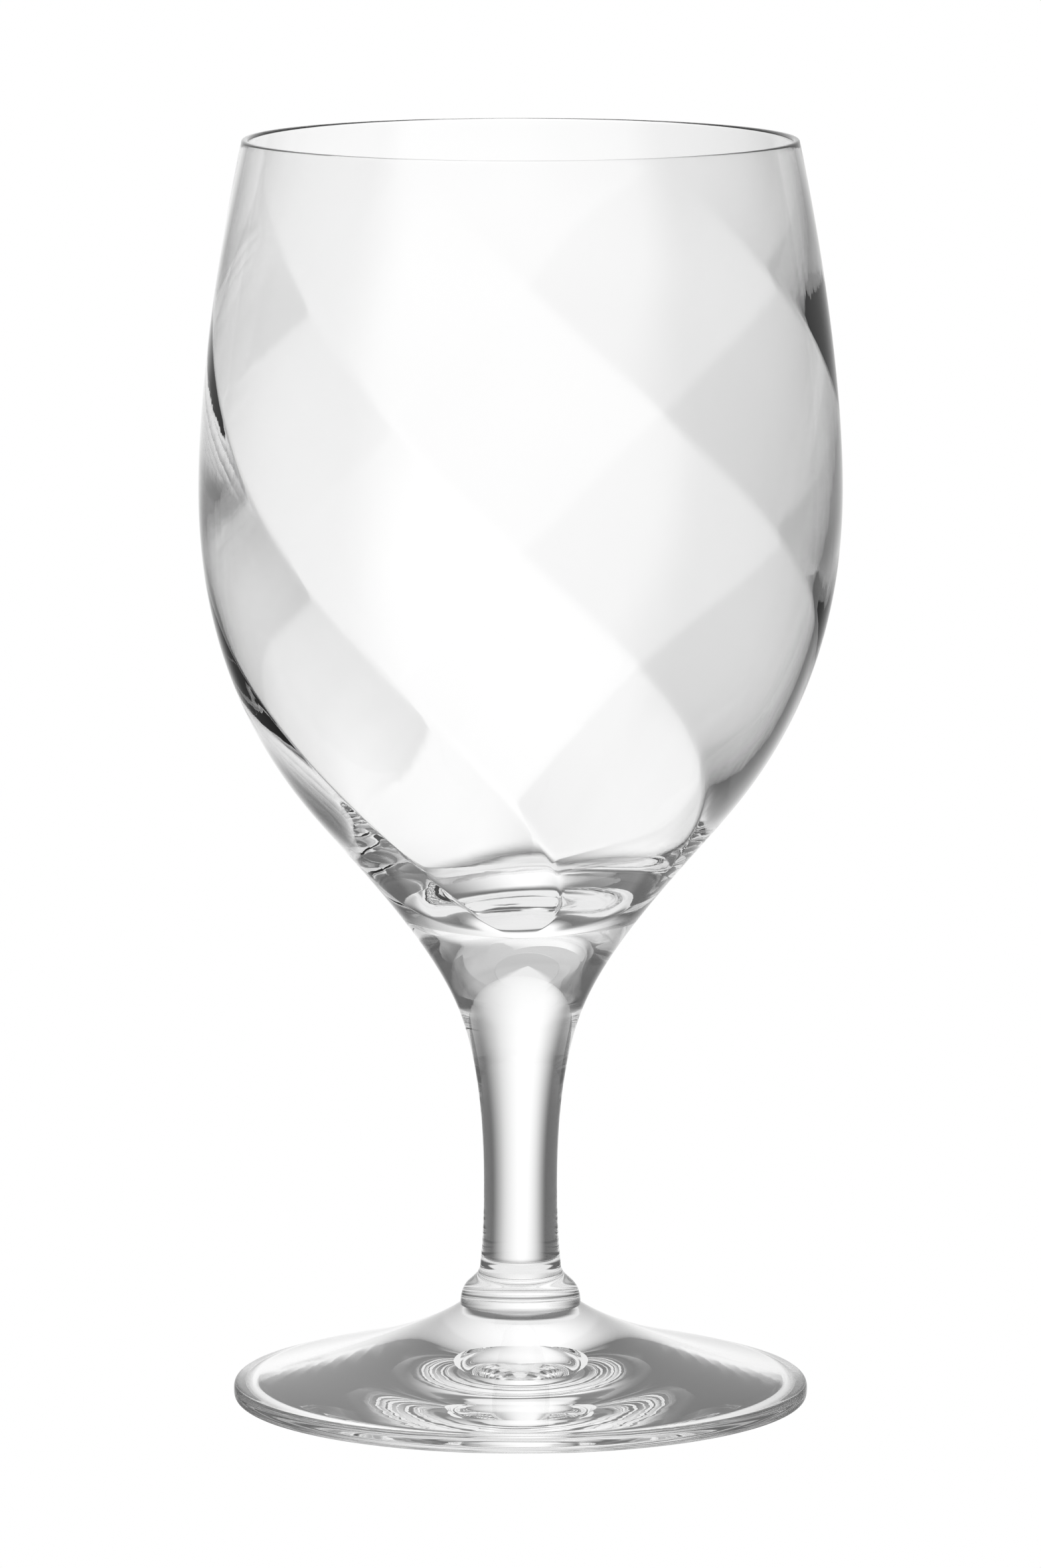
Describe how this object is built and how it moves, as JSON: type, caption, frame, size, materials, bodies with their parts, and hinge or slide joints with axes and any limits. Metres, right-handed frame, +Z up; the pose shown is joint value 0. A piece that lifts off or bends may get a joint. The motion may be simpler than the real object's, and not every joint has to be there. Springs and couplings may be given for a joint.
{
  "type": "beer glass",
  "caption": "Short-stemmed clear crystal beer glass: tall bowl blown with twisted inner panels, drawn stem, button collar and spread foot, to drink a bottle of beer and its head from.",
  "frame": {"origin": "centre of the ring that the foot stands on", "axes": "+Z up along the axis of the stem and the bowl; -Y is the side that the picture shows"},
  "size_m": [0.0885, 0.0884, 0.175],
  "materials": {
    "crystal": "clear blown crystal, fire-polished"
  },
  "bodies": {
    "root": {"bowl": "crystal", "stem": "crystal", "collar": "crystal", "foot": "crystal"}
  },
  "joints": []
}
